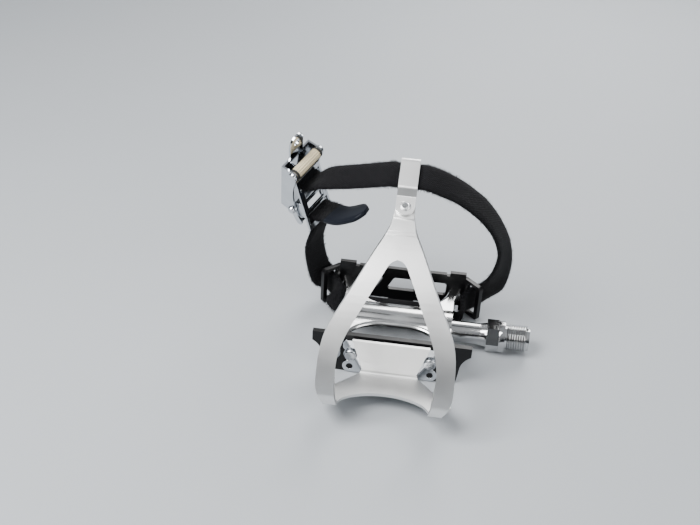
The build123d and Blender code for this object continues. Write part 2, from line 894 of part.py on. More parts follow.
ear_middle = beside(ear_place.X, ear_place.Y, ear_z)
ear_entry = ear_middle - ear_run * 2.2
ear_exit = ear_middle + ear_run * 3.2
far_entry = Vector(2 * pedal_centre - ear_entry.X, ear_entry.Y, ear_entry.Z)
under_arm = beside(arm_outer - 0.2, strap_dip + 2.0, strap_low + 1.6)
in_tunnel = beside(arm_inner + 2.5, strap_dip + 0.2, strap_low + 0.4)
half_way = beside(arm_inner / 2, strap_dip, strap_low)
near_loop = beside(neck_half + loop_exit, loop_place.X, loop_place.Y)
far_loop = beside(-neck_half - loop_exit, loop_place.X, loop_place.Y)
fixed_middle = (fixed_slot_low + fixed_slot_high) / 2
fixed_exit = on_buckle(fixed_middle - 0.4, -3.6)
buckle_foot = on_buckle(base_low - 4.5, outer_lay + 0.3)
tail_middle = (tail_slot_low + tail_slot_high) / 2
tail_exit = on_buckle(tail_middle + 1.7, -8.0)
strap_route = [
    (on_buckle(base_high - 1, outer_lay), buckle_across),
    (on_buckle(fixed_slot_high, outer_lay - 0.1), buckle_across),
    (on_buckle(fixed_middle - 0.2, 0), buckle_across),
    (fixed_exit, buckle_across),
    (swept(fixed_exit, far_loop, 0.18, 0.21, 0.29), (0.35, 0.82, 0.45)),
    (swept(fixed_exit, far_loop, 0.51, 0.44, 0.54), (0.15, 0.84, 0.52)),
    (swept(fixed_exit, far_loop, 0.8, 0.73, 0.8), (0.04, 0.86, 0.51)),
    (far_loop, neck_across),
    (beside(-neck_half - 0.8, loop_place.X, loop_place.Y), neck_across),
    (beside(neck_half + 0.8, loop_place.X, loop_place.Y), neck_across),
    (near_loop, neck_across),
    (swept(near_loop, ear_entry, 0.25, 0.07, 0.045), (0.08, 0.82, 0.56)),
    (swept(near_loop, ear_entry, 0.56, 0.15, 0.105), (0.07, 0.9, 0.44)),
    (swept(near_loop, ear_entry, 0.92, 0.29, 0.22), (0.09, 0.91, 0.41)),
    (swept(near_loop, ear_entry, 1.165, 0.43, 0.355), (0.12, 0.93, 0.36)),
    (swept(near_loop, ear_entry, 1.36, 0.585, 0.505), (0.28, 0.9, 0.34)),
    (swept(near_loop, ear_entry, 1.41, 0.725, 0.64), (0.55, 0.78, 0.27)),
    (swept(near_loop, ear_entry, 1.385, 0.865, 0.775), (0.78, 0.6, 0.06)),
    (swept(near_loop, ear_entry, 1.295, 0.985, 0.9), (0.8, 0.38, -0.42)),
    (swept(near_loop, ear_entry, 1.155, 1.045, 0.96), (0.55, 0.36, -0.74)),
    (ear_entry, ear_across),
    (ear_exit, ear_across),
    (under_arm, (-0.18, 0.71, -0.68)),
    (in_tunnel, (-0.2, 0.92, 0.34)),
    (half_way, under_across),
    *mirrored(
        (
            (ear_entry, tuple(-part for part in ear_across)),
            (ear_exit, tuple(-part for part in ear_across)),
            (under_arm, (-0.69, 0.57, 0.42)),
            (in_tunnel, (-0.2, 0.92, 0.34)),
            (half_way, under_across),
        )
    ),
    (swept(far_entry, buckle_foot, 0.74, -0.15, 0.075), (0.64, 0.58, 0.51)),
    (swept(far_entry, buckle_foot, 1.14, 0.2, 0.285), (0.6, 0.72, 0.36)),
    (swept(far_entry, buckle_foot, 1.4, 0.82, 0.68), (0.55, 0.78, 0.3)),
    (buckle_foot, buckle_across),
    (on_buckle(tail_slot_low - 0.5, outer_lay), buckle_across),
    (on_buckle(tail_middle + 0.3, 0.2), buckle_across),
    (on_buckle(tail_middle + 0.8, -4.0), buckle_across),
    (tail_exit, buckle_across),
    (tail_exit + tail_bend, buckle_across),
    (tail_exit + tail_reach, buckle_across),
]
strap_sections = []
for index in range(len(strap_route) - 1):
    start, start_across = strap_route[index]
    end, end_across = strap_route[index + 1]
    before = strap_route[max(index - 1, 0)][0]
    after = strap_route[min(index + 2, len(strap_route) - 1)][0]
    for step in range(strap_steps):
        share = step / strap_steps
        place = hermite(before, start, end, after, share)
        ahead = hermite(before, start, end, after, share + 0.01)
        turn = Vector(*start_across) * (1 - share) + Vector(*end_across) * share
        strap_sections.append((place, turn, ahead - place))
tip, tip_across = strap_route[-1]
strap_sections.append((tip, Vector(*tip_across), tip - strap_sections[-1][0]))
with BuildPart() as toe_strap:
    for place, across, along in strap_sections:
        with BuildSketch(Plane(place, x_dir=across, z_dir=along)):
            Rectangle(strap_width, strap_thickness)
    loft(ruled=True)
save(toe_strap, "toe_strap")

# Buckle frame: slotted base plate with two pierced cheeks
frame_half = cheek_inner + cheek_thickness
with BuildPart() as buckle_frame:
    with BuildSketch(buckle_plane):
        with Locations(((base_low + base_high) / 2, 0)):
            Rectangle(base_high - base_low, base_thickness)
    extrude(amount=frame_half, both=True)
    with BuildSketch(buckle_plane):
        for low, high in ((tail_slot_low, tail_slot_high), (fixed_slot_low, fixed_slot_high)):
            with Locations(((low + high) / 2, 0)):
                Rectangle(high - low, 2 * base_thickness)
    extrude(amount=slot_half, both=True, mode=Mode.SUBTRACT)
    with BuildSketch(buckle_plane):
        for low, high in vent_slots:
            with Locations(((low + high) / 2, 0)):
                Rectangle(high - low, 2 * base_thickness)
    extrude(amount=vent_slot_half, both=True, mode=Mode.SUBTRACT)
    for side_offset in (cheek_inner, -frame_half):
        with BuildSketch(buckle_plane.offset(side_offset)):
            with Locations(((cheek_low + cheek_high) / 2, cheek_out / 2)):
                Rectangle(cheek_high - cheek_low, cheek_out)
            with Locations((pivot_up, pivot_out)):
                Circle(cheek_round)
                Circle(pin_radius, mode=Mode.SUBTRACT)
        extrude(amount=cheek_thickness)
save(buckle_frame, "buckle_frame")

# Buckle lever: a channel with a thumb tab above, a release tab below and a grip bar
lever_inner = frame_half + lever_gap
lever_half = lever_inner + lever_thickness
pivot_place = on_buckle(pivot_up, pivot_out)
roller_place = on_buckle(roller_up, roller_out)
lever_span = hypot(roller_up - pivot_up, roller_out - pivot_out)
lever_plane = Plane(pivot_place, x_dir=roller_place - pivot_place, z_dir=buckle_plane.z_dir)
web_top = lever_web_offset + lever_thickness
web_plane = Plane(
    lever_plane.from_local_coords((0, lever_web_offset, 0)),
    x_dir=lever_plane.x_dir,
    z_dir=lever_plane.y_dir,
)
web_corner = lever_plane.from_local_coords((lever_web_start, lever_web_offset + lever_thickness / 2, 0))
web_corner = buckle_plane.to_local_coords(web_corner)
with BuildPart() as buckle_lever:
    for side_offset in (lever_inner, -lever_half):
        with BuildSketch(lever_plane.offset(side_offset)):
            with BuildLine():
                Polyline(
                    (lever_web_start, web_top),
                    (lever_span + lever_arm_half, web_top),
                    (lever_span + lever_arm_half, 0),
                )
                RadiusArc((lever_span + lever_arm_half, 0), (lever_span, -lever_arm_half), lever_arm_half)
                ThreePointArc(
                    (lever_span, -lever_arm_half),
                    (lever_span / 2, lever_waist - lever_arm_half),
                    (0, -lever_arm_half),
                )
                RadiusArc((0, -lever_arm_half), (-lever_arm_half, 0), lever_arm_half)
                Line((-lever_arm_half, 0), (lever_web_start, web_top))
            make_face()
        extrude(amount=lever_thickness)
        with BuildSketch(buckle_plane.offset(side_offset)):
            with BuildLine():
                Line((pivot_up, pivot_out), (grip_bar_up, grip_bar_out))
            trace(line_width=2 * grip_arm_half)
            with Locations((grip_bar_up, grip_bar_out)):
                Circle(grip_arm_half)
        extrude(amount=lever_thickness)
    with BuildSketch(web_plane):
        with Locations(((lever_web_start + lever_span + lever_arm_half) / 2, 0)):
            Rectangle(lever_span + lever_arm_half - lever_web_start, 2 * lever_half)
        with Locations(((lever_span + thumb_reach - thumb_half) / 2, 0)):
            Rectangle(thumb_reach - thumb_half - lever_span, 2 * thumb_half)
        with Locations((thumb_reach - thumb_half, 0)):
            Circle(thumb_half)
            Circle(thumb_hole, mode=Mode.SUBTRACT)
    extrude(amount=lever_thickness)
    with BuildSketch(buckle_plane):
        with BuildLine():
            Polyline(
                (web_corner.X + lever_thickness, web_corner.Y),
                (web_corner.X, web_corner.Y),
                (tail_tab_up, tail_tab_out),
            )
        trace(line_width=lever_thickness)
    extrude(amount=tail_tab_half, both=True)
    with BuildSketch(buckle_plane):
        with Locations((grip_bar_up, grip_bar_out)):
            Circle(grip_bar_radius)
    extrude(amount=lever_half, both=True)
    with BuildSketch(buckle_plane):
        with Locations((pivot_up, pivot_out)):
            Circle(pin_radius + pin_clearance)
        with Locations((roller_up, roller_out)):
            Circle(roller_pin_radius)
    extrude(amount=2 * lever_half, both=True, mode=Mode.SUBTRACT)
save(buckle_lever, "buckle_lever")


def headed_pin(name, place, radius, half_length, head_radius, head_height):
    """Write a pin across the buckle with a head outside each end."""
    with BuildPart() as pin:
        with BuildSketch(buckle_plane):
            with Locations(place):
                Circle(radius)
        extrude(amount=half_length, both=True)
        for start, height in ((half_length, head_height), (-half_length, -head_height)):
            with BuildSketch(buckle_plane.offset(start)):
                with Locations(place):
                    Circle(head_radius)
            extrude(amount=height, taper=20)
    save(pin, name)


pin_half = lever_half + lever_gap / 2
headed_pin("buckle_pin", (pivot_up, pivot_out), pin_radius, pin_half, pin_head_radius, pin_head_height)
headed_pin(
    "roller_pin",
    (roller_up, roller_out),
    roller_pin_radius,
    lever_half,
    roller_head_radius,
    roller_head_height,
)

# Fluted roller on its pin
with BuildPart() as buckle_roller:
    with BuildSketch(buckle_plane):
        with Locations((roller_up, roller_out)):
            Circle(roller_radius)
            Circle(roller_pin_radius + pin_clearance, mode=Mode.SUBTRACT)
            with PolarLocations(roller_radius, roller_flutes):
                Circle(flute_radius, mode=Mode.SUBTRACT)
    extrude(amount=lever_inner - roller_end_gap, both=True)
save(buckle_roller, "buckle_roller")
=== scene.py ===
"""Studio dressing of a road pedal with a toe clip, a webbing strap and a lever buckle.

Sizes are in millimetres and become metres when a mesh is made. +X runs to the crank,
-Y to the toe and +Z up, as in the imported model.
"""

import logging
import math
import random
from collections.abc import Iterable
from dataclasses import dataclass, field
from enum import Enum

import bmesh
import bpy
from mathutils import Matrix, Vector


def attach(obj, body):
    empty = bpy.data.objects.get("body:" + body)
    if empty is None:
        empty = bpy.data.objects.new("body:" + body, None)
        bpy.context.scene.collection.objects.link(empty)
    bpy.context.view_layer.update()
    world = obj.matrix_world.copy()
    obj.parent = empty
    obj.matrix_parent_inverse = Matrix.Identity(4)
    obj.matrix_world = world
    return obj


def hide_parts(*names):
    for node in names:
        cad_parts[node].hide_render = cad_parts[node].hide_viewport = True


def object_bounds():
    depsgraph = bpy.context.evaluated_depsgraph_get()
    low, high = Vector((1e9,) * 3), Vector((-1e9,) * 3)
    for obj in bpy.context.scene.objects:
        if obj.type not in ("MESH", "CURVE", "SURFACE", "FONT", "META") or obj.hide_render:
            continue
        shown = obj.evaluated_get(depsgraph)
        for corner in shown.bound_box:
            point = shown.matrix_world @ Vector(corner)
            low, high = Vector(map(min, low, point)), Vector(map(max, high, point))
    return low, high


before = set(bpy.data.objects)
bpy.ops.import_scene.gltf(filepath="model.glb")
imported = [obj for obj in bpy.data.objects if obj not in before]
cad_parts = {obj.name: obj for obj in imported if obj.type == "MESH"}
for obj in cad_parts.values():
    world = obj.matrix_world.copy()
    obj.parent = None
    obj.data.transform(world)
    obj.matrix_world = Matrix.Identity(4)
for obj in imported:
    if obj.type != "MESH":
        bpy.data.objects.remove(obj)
CAD_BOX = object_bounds()
LOG = logging.getLogger("pedal")
MM = 0.001
FULL_TURN = 2 * math.pi
MERGE_DISTANCE = 1e-6
FLAT_ANGLE_DEG = 0.2
FLAT_MM2 = 20.0
FLAT_MARGIN_MM = 0.3
CREASE_DEG = 35.0
EDGE_SEGMENTS = 2
EDGE_PROFILE = 0.5
# A Mix node's colour sockets, by number because its other modes use the same names
MIX_SHARE, MIX_FIRST, MIX_SECOND, MIX_RESULT = 0, 6, 7, 2
Places = Iterable[Iterable[float]]
Line = tuple[list[bmesh.types.BMVert], list[bmesh.types.BMEdge]]


def linear(hex_colour: str) -> tuple[float, float, float, float]:
    """Turn an sRGB hex colour into linear values for a shader socket.

    Args:
        hex_colour: Colour as "#rrggbb".

    Returns:
        Linear red, green, blue and an alpha of one.
    """
    channels = [int(hex_colour[start:start + 2], 16) / 255 for start in (1, 3, 5)]
    toned = [c / 12.92 if c <= 0.04045 else ((c + 0.055) / 1.055) ** 2.4 for c in channels]
    return (toned[0], toned[1], toned[2], 1.0)


def repeats(size_mm: float) -> float:
    """Count how many spots of this size fit in a metre, as a pattern's scale asks."""
    return 1 / (size_mm * MM)


def add_node(tree: bpy.types.NodeTree, kind: str, values: dict | None = None,
             links: dict | None = None, **settings: object) -> bpy.types.Node:
    """Add one shader node with its settings, fixed values and incoming links.

    Args:
        tree: Node tree that gets the node.
        kind: Blender's name for the node type.
        values: Socket name or index to fixed value.
        links: Socket name or index to the output socket that feeds it.
        settings: Properties set on the node itself.

    Returns:
        The new node.
    """
    made = tree.nodes.new(kind)
    for name, value in settings.items():
        setattr(made, name, value)
    for socket, value in (values or {}).items():
        made.inputs[socket].default_value = value
    for socket, source in (links or {}).items():
        tree.links.new(source, made.inputs[socket])
    return made


def new_material(name: str) -> tuple[bpy.types.Material, bpy.types.NodeTree, bpy.types.Node]:
    """Start a material that holds only its shader and its output.

    Args:
        name: Name of the material.

    Returns:
        The material, its node tree and its Principled shader.
    """
    material = bpy.data.materials.new(name)
    material.use_nodes = True
    tree = material.node_tree
    tree.nodes.clear()
    shader = add_node(tree, "ShaderNodeBsdfPrincipled")
    add_node(tree, "ShaderNodeOutputMaterial", links={"Surface": shader.outputs["BSDF"]})
    return material, tree, shader


class Working(Enum):
    """How a metal's surface was made, as its marks' scale along X, Y and Z: a low one draws them out."""

    BUFFED = (0.35, 1.0, 1.0)
    BLASTED = (1.0, 1.0, 1.0)
    TURNED = (1.0, 0.06, 0.06)
    PLATED = (0.8, 1.0, 0.8)


@dataclass(frozen=True)
class MetalFinish:
    """A bare, plated or coated metal with fine marks and a few large smears.

    The marks come from Object coordinates, so they stay on the piece. mark_mm is drawn a
    little coarser than the real marks where these would be too fine to show.
    """

    name: str
    colour: str
    shade: str
    roughness: float
    roughness_spread: float
    mark_mm: float
    mark_depth_mm: float
    smear_mm: float
    working: Working
    metallic: float = 1.0
    gloss_level: float = 0.5
    mark_detail: float = 3.0
    smear_detail: float = 2.0
    mark_share: float = 0.5
    noise_low: float = 0.3
    noise_high: float = 0.7
    least_roughness: float = 0.02

    def make(self) -> bpy.types.Material:
        """Build the material.

        Returns:
            The finished material.
        """
        material, tree, shader = new_material(self.name)
        shader.inputs["Metallic"].default_value = self.metallic
        shader.inputs["Specular IOR Level"].default_value = self.gloss_level
        place = add_node(tree, "ShaderNodeTexCoord")
        stretched = add_node(tree, "ShaderNodeMapping", {"Scale": self.working.value},
                             {"Vector": place.outputs["Object"]})
        marks = add_node(tree, "ShaderNodeTexNoise",
                         {"Scale": repeats(self.mark_mm), "Detail": self.mark_detail},
                         {"Vector": stretched.outputs["Vector"]})
        smears = add_node(tree, "ShaderNodeTexNoise",
                          {"Scale": repeats(self.smear_mm), "Detail": self.smear_detail},
                          {"Vector": place.outputs["Object"]})
        colour = add_node(tree, "ShaderNodeMix",
                          {MIX_FIRST: linear(self.shade), MIX_SECOND: linear(self.colour)},
                          {MIX_SHARE: smears.outputs["Fac"]}, data_type="RGBA")
        fine = add_node(tree, "ShaderNodeMath", {1: self.mark_share},
                        {0: marks.outputs["Fac"]}, operation="MULTIPLY")
        both = add_node(tree, "ShaderNodeMath", {1: 1 - self.mark_share},
                        {0: smears.outputs["Fac"], 2: fine.outputs["Value"]}, operation="MULTIPLY_ADD")
        gloss = add_node(tree, "ShaderNodeMapRange",
                         {"From Min": self.noise_low, "From Max": self.noise_high,
                          "To Min": max(self.roughness - self.roughness_spread, self.least_roughness),
                          "To Max": self.roughness + self.roughness_spread},
                         {"Value": both.outputs["Value"]})
        bump = add_node(tree, "ShaderNodeBump", {"Strength": 1.0, "Distance": self.mark_depth_mm * MM},
                        {"Height": marks.outputs["Fac"]})
        tree.links.new(colour.outputs[MIX_RESULT], shader.inputs["Base Color"])
        tree.links.new(gloss.outputs["Result"], shader.inputs["Roughness"])
        tree.links.new(bump.outputs["Normal"], shader.inputs["Normal"])
        return material


@dataclass(frozen=True)
class WebbingFinish:
    """Woven black nylon webbing with a matt, slightly dusty nap, whose lighter specks are partly lint and
    partly painted highlight, and a coated tail tongue.

    The weave follows the strap by its own along and across attributes, in metres. Weave and nap
    are drawn coarser than the real ones, which would be too fine to show.
    """

    name: str = "nylon_webbing"
    yarn: str = "#060607"
    lint_and_glint_yarn: str = "#1f1f22"
    tongue: str = "#10141c"
    yarn_mm: float = 1.1
    rib_mm: float = 1.6
    weave_depth_mm: float = 0.3
    weave_share: float = 0.35
    weave_strength: float = 0.9
    nap_mm: float = 1.3
    nap_detail: float = 4.0
    lint_and_glint_low: float = 0.35
    lint_and_glint_high: float = 0.85
    woven_roughness: float = 0.92
    tongue_roughness: float = 0.42
    sheen: float = 0.06
    sheen_roughness: float = 0.45
    ior: float = 1.45
    gloss_level: float = 0.12

    def make(self) -> bpy.types.Material:
        """Build the material.

        Returns:
            The finished material.
        """
        material, tree, shader = new_material(self.name)
        shader.inputs["Sheen Weight"].default_value = self.sheen
        shader.inputs["Sheen Roughness"].default_value = self.sheen_roughness
        shader.inputs["IOR"].default_value = self.ior
        shader.inputs["Specular IOR Level"].default_value = self.gloss_level
        along, across, tail = (add_node(tree, "ShaderNodeAttribute", attribute_name=name).outputs["Fac"]
                               for name in ("along", "across", "tongue"))
        pair = add_node(tree, "ShaderNodeCombineXYZ", links={"X": along, "Y": across})
        waves = []
        for way, spacing_mm in ((across, self.yarn_mm), (along, self.rib_mm)):
            phase = add_node(tree, "ShaderNodeMath", {1: FULL_TURN / (spacing_mm * MM)},
                             {0: way}, operation="MULTIPLY")
            wave = add_node(tree, "ShaderNodeMath", links={0: phase.outputs["Value"]}, operation="SINE")
            waves.append(wave.outputs["Value"])
        woven = add_node(tree, "ShaderNodeMath", links={0: waves[0], 1: waves[1]}, operation="MULTIPLY")
        nap = add_node(tree, "ShaderNodeTexNoise",
                       {"Scale": repeats(self.nap_mm), "Detail": self.nap_detail},
                       {"Vector": pair.outputs["Vector"]})
        height = add_node(tree, "ShaderNodeMath", {1: self.weave_share},
                          {0: woven.outputs["Value"], 2: nap.outputs["Fac"]}, operation="MULTIPLY_ADD")
        uncoated = add_node(tree, "ShaderNodeMath", {0: 1.0}, {1: tail}, operation="SUBTRACT")
        relief = add_node(tree, "ShaderNodeMath",
                          links={0: height.outputs["Value"], 1: uncoated.outputs["Value"]},
                          operation="MULTIPLY")
        bump = add_node(tree, "ShaderNodeBump",
                        {"Strength": self.weave_strength, "Distance": self.weave_depth_mm * MM},
                        {"Height": relief.outputs["Value"]})
        # Raised yarn and the nap's high spots turn lighter: partly lint, partly painted highlight on the
        # fuzz.
        lint_and_glint = add_node(tree, "ShaderNodeMapRange",
                        {"From Min": self.lint_and_glint_low, "From Max": self.lint_and_glint_high},
                        {"Value": height.outputs["Value"]})
        yarn = add_node(tree, "ShaderNodeMix",
                        {MIX_FIRST: linear(self.yarn), MIX_SECOND: linear(self.lint_and_glint_yarn)},
                        {MIX_SHARE: lint_and_glint.outputs["Result"]}, data_type="RGBA")
        colour = add_node(tree, "ShaderNodeMix", {MIX_SECOND: linear(self.tongue)},
                          {MIX_SHARE: tail, MIX_FIRST: yarn.outputs[MIX_RESULT]}, data_type="RGBA")
        dull = add_node(tree, "ShaderNodeMapRange",
                        {"To Min": self.woven_roughness, "To Max": self.tongue_roughness},
                        {"Value": tail})
        tree.links.new(colour.outputs[MIX_RESULT], shader.inputs["Base Color"])
        tree.links.new(dull.outputs["Result"], shader.inputs["Roughness"])
        tree.links.new(bump.outputs["Normal"], shader.inputs["Normal"])
        return material


@dataclass(frozen=True)
class MouldedFinish:
    """A moulded plastic, a rubber or a paper: even colour, slight mottling and a fine grain."""

    name: str
    colour: str
    mottle: str
    roughness: float
    grain_mm: float
    grain_depth_mm: float
    mottle_mm: float = 4.0
    mottle_detail: float = 3.0
    grain_detail: float = 2.0
    grain_strength: float = 0.6
    ior: float = 1.5

    def make(self) -> bpy.types.Material:
        """Build the material.

        Returns:
            The finished material.
        """
        material, tree, shader = new_material(self.name)
        shader.inputs["Roughness"].default_value = self.roughness
        shader.inputs["IOR"].default_value = self.ior
        place = add_node(tree, "ShaderNodeTexCoord")
        patches = add_node(tree, "ShaderNodeTexNoise",
                           {"Scale": repeats(self.mottle_mm), "Detail": self.mottle_detail},
                           {"Vector": place.outputs["Object"]})
        grain = add_node(tree, "ShaderNodeTexNoise",
                         {"Scale": repeats(self.grain_mm), "Detail": self.grain_detail},
                         {"Vector": place.outputs["Object"]})
        colour = add_node(tree, "ShaderNodeMix",
                          {MIX_FIRST: linear(self.colour), MIX_SECOND: linear(self.mottle)},
                          {MIX_SHARE: patches.outputs["Fac"]}, data_type="RGBA")
        bump = add_node(tree, "ShaderNodeBump",
                        {"Strength": self.grain_strength, "Distance": self.grain_depth_mm * MM},
                        {"Height": grain.outputs["Fac"]})
        tree.links.new(colour.outputs[MIX_RESULT], shader.inputs["Base Color"])
        tree.links.new(bump.outputs["Normal"], shader.inputs["Normal"])
        return material


def finished(name: str, bm: bmesh.types.BMesh, crease_deg: float = CREASE_DEG) -> bpy.types.Object:
    """Turn a bmesh into a linked object with smooth faces and sharp creases.

    Args:
        name: Name of the piece.
        bm: Mesh in metres; it is freed.
        crease_deg: Edges that bend more than this stay sharp.

    Returns:
        The new object, at the origin.
    """
    mesh = bpy.data.meshes.new(name)
    bm.to_mesh(mesh)
    bm.free()
    for polygon in mesh.polygons:
        polygon.use_smooth = True
    mesh.set_sharp_from_angle(angle=math.radians(crease_deg))
    piece = bpy.data.objects.new(name, mesh)
    bpy.context.scene.collection.objects.link(piece)
    return piece


def merged_copy(node: str) -> bmesh.types.BMesh:
    """Copy a CAD node's triangles with shared corners and flat faces made whole.

    Args:
        node: Name of the CAD node.

    Returns:
        The copy, in metres.
    """
    bm = bmesh.new()
    bm.from_mesh(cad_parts[node].data)
    bmesh.ops.remove_doubles(bm, verts=bm.verts, dist=MERGE_DISTANCE)
    bmesh.ops.dissolve_limit(bm, angle_limit=math.radians(FLAT_ANGLE_DEG), verts=bm.verts, edges=bm.edges)
    return bm


def hold_flats(bm: bmesh.types.BMesh) -> None:
    """Frame every large flat face with a narrow margin, so that its shading stays flat beside a fold.

    Args:
        bm: Mesh to change, in metres.
    """
    broad = [face for face in bm.faces if face.calc_area() > FLAT_MM2 * MM * MM]
    bmesh.ops.inset_individual(bm, faces=broad, thickness=FLAT_MARGIN_MM * MM, use_even_offset=True)


def open_edges(bm: bmesh.types.BMesh) -> list[bmesh.types.BMEdge]:
    """List the edges that only one face has."""
    return [edge for edge in bm.edges if edge.is_boundary]


def closed_line(bm: bmesh.types.BMesh, places: Places) -> Line:
    """Draw a closed line from corner to corner.

    Args:
        bm: Mesh that gets the line.
        places: Its corners in order, in metres.

    Returns:
        The corners and the edges between them.
    """
    corners = [bm.verts.new(place) for place in places]
    edges = [bm.edges.new((corners[i - 1], corners[i])) for i in range(len(corners))]
    return corners, edges


def spin_ring(bm: bmesh.types.BMesh, places: Places, centre: Vector, axis: Vector, steps: int) -> None:
    """Spin a closed line once round an axis, which makes a ring.

    Args:
        bm: Mesh that gets the ring.
        places: Corners of the line in order, in metres.
        centre: A point on the axis.
        axis: Direction of the axis.
        steps: Faces round the ring.
    """
    corners, edges = closed_line(bm, places)
    bmesh.ops.spin(bm, geom=[*corners, *edges], cent=centre, axis=axis, angle=FULL_TURN, steps=steps,
                   use_merge=True)


def round_edges(piece: bpy.types.Object, width_mm: float) -> None:
    """Break the sharp edges of a piece, as tumbling and polishing do.

    Args:
        piece: Object that gets the modifier.
        width_mm: Width of the broken edge.
    """
    bevel = piece.modifiers.new("broken_edges", "BEVEL")
    bevel.width = width_mm * MM
    bevel.segments = EDGE_SEGMENTS
    bevel.profile = EDGE_PROFILE
    bevel.limit_method = "ANGLE"
    bevel.angle_limit = math.radians(CREASE_DEG)
    bevel.harden_normals = True


def seat(piece: bpy.types.Object, body: str, slot: str, material: bpy.types.Material,
         *nodes: str) -> None:
    """Give a piece its finish and its body, and hide the CAD nodes that it stands in for.

    Args:
        piece: The finished object.
        body: Body that carries it.
        slot: Material slot of the record; not used.
        material: Its finish.
        nodes: CAD nodes that it replaces.
    """
    piece.data.materials.append(material)
    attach(piece, body)
    if nodes:
        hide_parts(*nodes)
    LOG.info("%s rides on %s", piece.name, body)


def dressed_node(node: str, body: str, slot: str, material: bpy.types.Material, edge_mm: float,
                 hold: bool = False) -> None:
    """Stand a smooth, edge-broken copy in for a CAD node.

    Args:
        node: Name of the CAD node.
        body: Body that carries it.
        slot: Material slot of the record.
        material: Its finish.
        edge_mm: Width of its broken edges.
        hold: Whether its large flats are framed, as folded sheet needs.
    """
    bm = merged_copy(node)
    if hold:
        hold_flats(bm)
    piece = finished(f"{node}_shell", bm)
    round_edges(piece, edge_mm)
    seat(piece, body, slot, material, node)


def repaint(node: str, material: bpy.types.Material) -> None:
    """Give a CAD node that stays in view its finish.

    Args:
        node: Name of the CAD node.
        material: Its finish.
    """
    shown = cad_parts[node]
    shown.data.materials.clear()
    shown.data.materials.append(material)
    LOG.info("%s keeps its solid", node)


@dataclass
class SpindleUnit:
    """Turned spindle with its screw thread, and the bearings on it."""

    shaft_end: float = 0.05
    shaft_edge: float = 0.25
    thread_radius: float = 7.14
    root_radius: float = 6.36
    root_steps: int = 64
    pitch: float = 1.27
    thread_start: float = 0.9
    thread_end: float = 12.9
    lead_chamfer: float = 1.1
    crest_share: float = 0.14
    flank_share: float = 0.46
    ridge_sink: float = 0.2
    steps_per_turn: int = 40
    thread_crease: float = 30.0

    def shaft(self) -> bpy.types.Object:
        """Cut the plain thread cylinder off a copy of the spindle.

        Returns:
            The shaft with its shoulder and flats.
        """
        bm = merged_copy("spindle")
        cut = bmesh.ops.bisect_plane(bm, geom=[*bm.verts, *bm.edges, *bm.faces], dist=MERGE_DISTANCE,
                                     plane_co=(self.shaft_end * MM, 0, 0), plane_no=(1, 0, 0),
                                     clear_outer=True)
        rim = [e for e in cut["geom_cut"] if isinstance(e, bmesh.types.BMEdge)]
        bmesh.ops.holes_fill(bm, edges=rim)
        piece = finished("spindle_shaft", bm)
        round_edges(piece, self.shaft_edge)
        return piece

    def ridge(self) -> list[tuple[float, float]]:
        """Outline the thread's first ridge, with its foot sunk in the core.

        Returns:
            Points along the spindle and out from its axis, in millimetres.
        """
        foot = self.root_radius - self.ridge_sink
        crest = self.pitch * self.crest_share / 2
        half = self.pitch * self.flank_share
        middle = self.thread_start + half
        return [(middle - half, foot), (middle - half, self.root_radius),
                (middle - crest, self.thread_radius), (middle + crest, self.thread_radius),
                (middle + half, self.root_radius), (middle + half, foot)]

    def chamfer(self, bm: bmesh.types.BMesh) -> None:
        """Turn the free end of the thread down to a cone.

        Args:
            bm: The threaded end, in metres.
        """
        for vert in bm.verts:
            reach = math.hypot(vert.co.y, vert.co.z)
            limit = (self.thread_radius + self.thread_end - self.lead_chamfer) * MM - vert.co.x
            if reach > limit:
                vert.co.y *= limit / reach
                vert.co.z *= limit / reach

    def thread(self) -> bpy.types.Object:
        """Spin a ridge along a core to make the screw thread.

        Returns:
            The threaded end.
        """
        bm = bmesh.new()
        middle = Matrix.Translation((self.thread_end / 2 * MM, 0, 0))
        along_spindle = Matrix.Rotation(math.pi / 2, 4, "Y")
        bmesh.ops.create_cone(bm, cap_ends=True, segments=self.root_steps,
                              radius1=self.root_radius * MM, radius2=self.root_radius * MM,
                              depth=self.thread_end * MM, matrix=middle @ along_spindle)
        corners = [bm.verts.new((x * MM, 0, radius * MM)) for x, radius in self.ridge()]
        profile = bm.faces.new(corners)
        ridge_width = 2 * self.pitch * self.flank_share
        turns = int((self.thread_end - self.thread_start - ridge_width) / self.pitch)
        bmesh.ops.spin(bm, geom=[profile, *profile.edges, *corners], cent=(0, 0, 0), axis=(1, 0, 0),
                       dvec=(self.pitch * MM / self.steps_per_turn, 0, 0), angle=FULL_TURN * turns,
                       steps=turns * self.steps_per_turn, use_merge=False, use_duplicate=False)
        bmesh.ops.holes_fill(bm, edges=open_edges(bm))
        self.chamfer(bm)
        bmesh.ops.recalc_face_normals(bm, faces=bm.faces)
        return finished("spindle_thread", bm, self.thread_crease)

    def build(self, steel: bpy.types.Material, ground: bpy.types.Material, rubber: bpy.types.Material,
              bolt: bpy.types.Material) -> None:
        """Make and seat the spindle, and finish the pieces sealed in the body.

        Args:
            steel: Finish of the spindle.
            ground: Finish of the bearings.
            rubber: Finish of the seal.
            bolt: Finish of the washer and locknut.
        """
        seat(self.shaft(), "spindle", "spindle_steel", steel, "spindle")
        seat(self.thread(), "spindle", "spindle_steel", steel, "spindle")
        for bearing in ("inner_bearing", "outer_bearing"):
            for part in ("inner_race", "outer_race", "balls"):
                repaint(f"{bearing}_{part}", ground)
        repaint("spindle_seal", rubber)
        repaint("spindle_washer", bolt)
        repaint("spindle_locknut", bolt)


